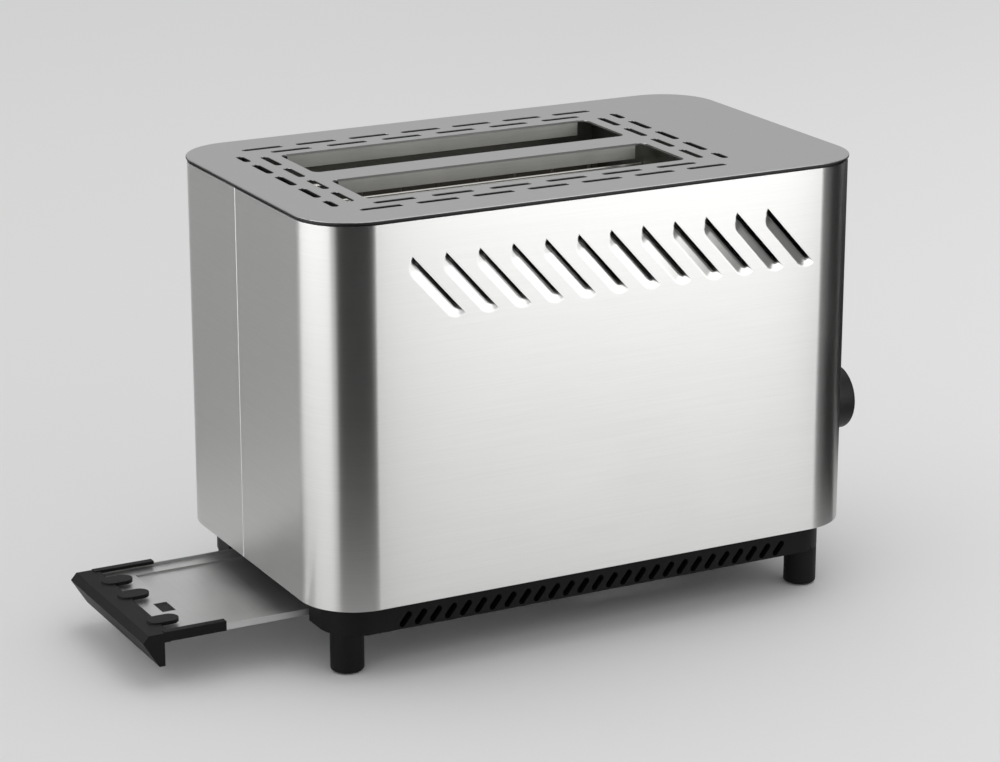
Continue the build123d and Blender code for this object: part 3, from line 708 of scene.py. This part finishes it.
def roll_seam(shell):
    """Round the rear shell's outer edge at the left seam, which shows as a bright line."""
    place = Vector((body_low.x, seam_left_y + seam_gap))

    def on_edge(a, b):
        return all((end.xy - place).length < tolerance for end in (a, b))

    pick(shell, "EDGE", on_edge)
    bpy.ops.mesh.bevel(offset=seam_roll, segments=4, affect="EDGES")
    leave()


def seam_straps():
    """The strips that close the seams from inside, carried by the rear shell."""
    straps = []
    inside = steel + touch_gap
    for x, seam_y in ((body_low.x + inside, seam_left_y),
                      (body_high.x - inside - steel, seam_right_y)):
        low = (x, seam_y - strap_half, wrap_low + strap_rise)
        high = (x + steel, seam_y + strap_half, wrap_high - strap_drop)
        straps.append(rounded_block(low, high, strap_round, segments=2))
    return straps


arm_low, arm_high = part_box("lever_knob")
arm_middle = (arm_low + arm_high) / 2
lift_travel = next(j for j in frame["joints"] if j["name"] == "lift_slide")["range_m"][1]
arm_half_height = 5.0 * mm
lever_slot_half = 3.0 * mm
lever_slot_round = 0.9 * mm
shaft_hole_half = 3.8 * mm
shaft_hole_round = 3.79 * mm
button_gap = 0.35 * mm
nearly_round = 0.999
lever_hole = end_hole(0.0, arm_middle.z - lift_travel / 2, lever_slot_half,
                      lift_travel / 2 + arm_half_height, lever_slot_round)
shaft_hole = end_hole(knob_middle.y, knob_middle.z, shaft_hole_half, shaft_hole_half,
                      shaft_hole_round)
button_holes = []
for button_name in ("cancel_button", "reheat_button", "defrost_button"):
    low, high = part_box(button_name)
    centre = (low + high) / 2
    half = (high.z - low.z) / 2 + button_gap
    button_holes.append(end_hole(centre.y, centre.z, half, half, half * nearly_round))
bent_shell("front_wrap", "front_shell", -1, [lever_hole, shaft_hole])
bent_shell("rear_wrap", "rear_shell", 1, button_holes)

# %% [markdown]
# ## The pressed louvres
#
# A louvre is made with one stroke of a press: the die cuts a straight line and pushes
# the sheet in on one side of it, and the sheet stretches there into a shallow dish with
# closed ends. By hand it is a flat grid whose edge row along the cut is pulled inwards
# with proportional editing: a wide pull for the shallow part, a narrow one for the steep
# part beside the cut, and a short round one for the steep upper end. The grid is then
# given the sheet's thickness, and it fills the window that was cut for it in the wall.

# %% Louvre patches
wide_pull = 1.3 * mm
narrow_pull = 1.9 * mm
narrow_reach = 2.6 * mm
hook_pull = 1.1 * mm
hook_reach = 2.2 * mm
hook_start = 1.0 * mm
hook_end = 2.4 * mm
steep_end = 1.4 * mm
gentle_end = 4.4 * mm
louvre_sheet = 0.65 * mm
patch_columns = 72
patch_rows = 16


def louvre_patch(x, side):
    """One louvre: a patch of the wall, dished towards its cut edge."""
    length = louvre_length + 2 * (patch_margin + patch_overlap)
    width = louvre_width + patch_root + 2 * patch_overlap
    top = louvre_width / 2 + patch_overlap
    bpy.ops.mesh.primitive_grid_add(x_subdivisions=patch_columns, y_subdivisions=patch_rows,
                                    size=1.0)
    patch = bpy.context.object
    patch.scale = (length, width, 1.0)
    patch.location = (0.0, top - width / 2, -patch_sunk)
    settle(patch, "patch")
    first = -louvre_length / 2
    last = louvre_length / 2
    pulls = ((wide_pull, louvre_width, "LINEAR", first + louvre_width, last - louvre_width),
             (narrow_pull, narrow_reach, "SHARP", first + steep_end, last - gentle_end),
             (hook_pull, hook_reach, "SPHERE", first + hook_start, first + hook_end))
    for depth, reach, falloff, start, end in pulls:

        def on_cut(vertex):
            return vertex.y > top - tolerance and start < vertex.x < end

        pick(patch, "VERT", on_cut)
        bpy.ops.transform.translate(value=(0, 0, -depth), use_proportional_edit=True,
                                    proportional_edit_falloff=falloff, proportional_size=reach)
        leave()
    modify(patch, "SOLIDIFY", thickness=louvre_sheet, offset=-1.0)
    smooth(patch, angle=50)
    place = louvre_frame(x, side)
    patch.matrix_world = place if side < 0 else mirrored(place)
    settle(patch, "patch")
    if side > 0:
        pick(patch, "FACE", lambda centre, normal: True)
        bpy.ops.mesh.flip_normals()
        leave()
    return patch


def mirrored(matrix):
    """The same place with its outward axis turned over."""
    return matrix @ Matrix.Diagonal((1.0, 1.0, -1.0, 1.0))


for side, louvres_name in ((-1, "front_louvres"), (1, "rear_louvres")):
    louvres = join([louvre_patch(x, side) for x in louvre_places])
    settle(louvres, louvres_name)
    louvres.data.materials.append(wrap_steel)
    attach(louvres, "toaster_body")
    print(louvres_name, len(louvres.data.polygons), "faces")

# %% [markdown]
# ## Pieces whose CAD shape is right
#
# The plate, the base, the tray and its handle already have their true shape in the CAD.
# A welded copy of each gets its edges broken, because a real pressing or moulding has
# no razor edges and it is those small rounds that catch the light.

# %% Dressed copies
dressed_nodes = (
    # name, node, body, finish, slot, round in millimetres
    ("top_lid", "top_plate", "toaster_body", plate_steel, "plate_steel", 0.15),
    ("vented_base", "base", "toaster_body", black_plastic, "black_plastic", 0.15),
    ("sliding_tray", "crumb_tray", "tray", tray_steel, "tray_steel", 0.12),
    ("pull_handle", "tray_handle", "tray", black_plastic, "black_plastic", 0.30),
    ("lever_grip", "lever_knob", "carriage", knob_plastic, "knob_plastic", 0.70),
    ("browning_grip", "browning_knob", "browning_dial", knob_plastic, "knob_plastic", 0.80),
    ("cancel_cap", "cancel_button", "cancel", knob_plastic, "knob_plastic", 0.80),
    ("reheat_cap", "reheat_button", "reheat", knob_plastic, "knob_plastic", 0.80),
    ("defrost_cap", "defrost_button", "defrost", knob_plastic, "knob_plastic", 0.80),
)
for name, node, body, material, slot_name, round_mm in dressed_nodes:
    piece = copy_of(node, name)
    soften(piece, round_mm * mm, angle=40)
    smooth(piece)
    piece.data.materials.clear()
    piece.data.materials.append(material)
    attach(piece, body)
    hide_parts(node)
    print(name, len(piece.data.polygons), "faces")

# %% Finishes for the nodes that stay
node_finishes = {
    "foot_pads": foot_rubber, "tray_end_plate": inner_steel, "lever_end_plate": inner_steel,
    "front_reflector": inner_steel, "rear_reflector": inner_steel,
    "front_heater_card": mica, "centre_heater_card": mica, "rear_heater_card": mica,
    "front_heater_ribbon": ribbon_metal, "centre_heater_ribbons": ribbon_metal,
    "rear_heater_ribbon": ribbon_metal, "guide_rod": rod_steel, "lift_spring": spring_steel,
    "latch_magnet": magnet_lacquer, "board_bracket": inner_steel,
    "control_board": board_laminate, "button_board": board_laminate,
    "browning_control": component_plastic, "browning_shaft": component_plastic,
    "button_switches": component_plastic, "deck_screws": screw_steel,
    "board_screws": screw_steel, "cord_gland": black_plastic, "carriage": inner_steel,
    "front_bread_rack": rod_steel, "rear_bread_rack": rod_steel,
    "front_slot_near_guard": rod_steel, "front_slot_far_guard": rod_steel,
    "rear_slot_near_guard": rod_steel, "rear_slot_far_guard": rod_steel,
}
for name, material in node_finishes.items():
    nodes[name].data.materials.clear()
    nodes[name].data.materials.append(material)
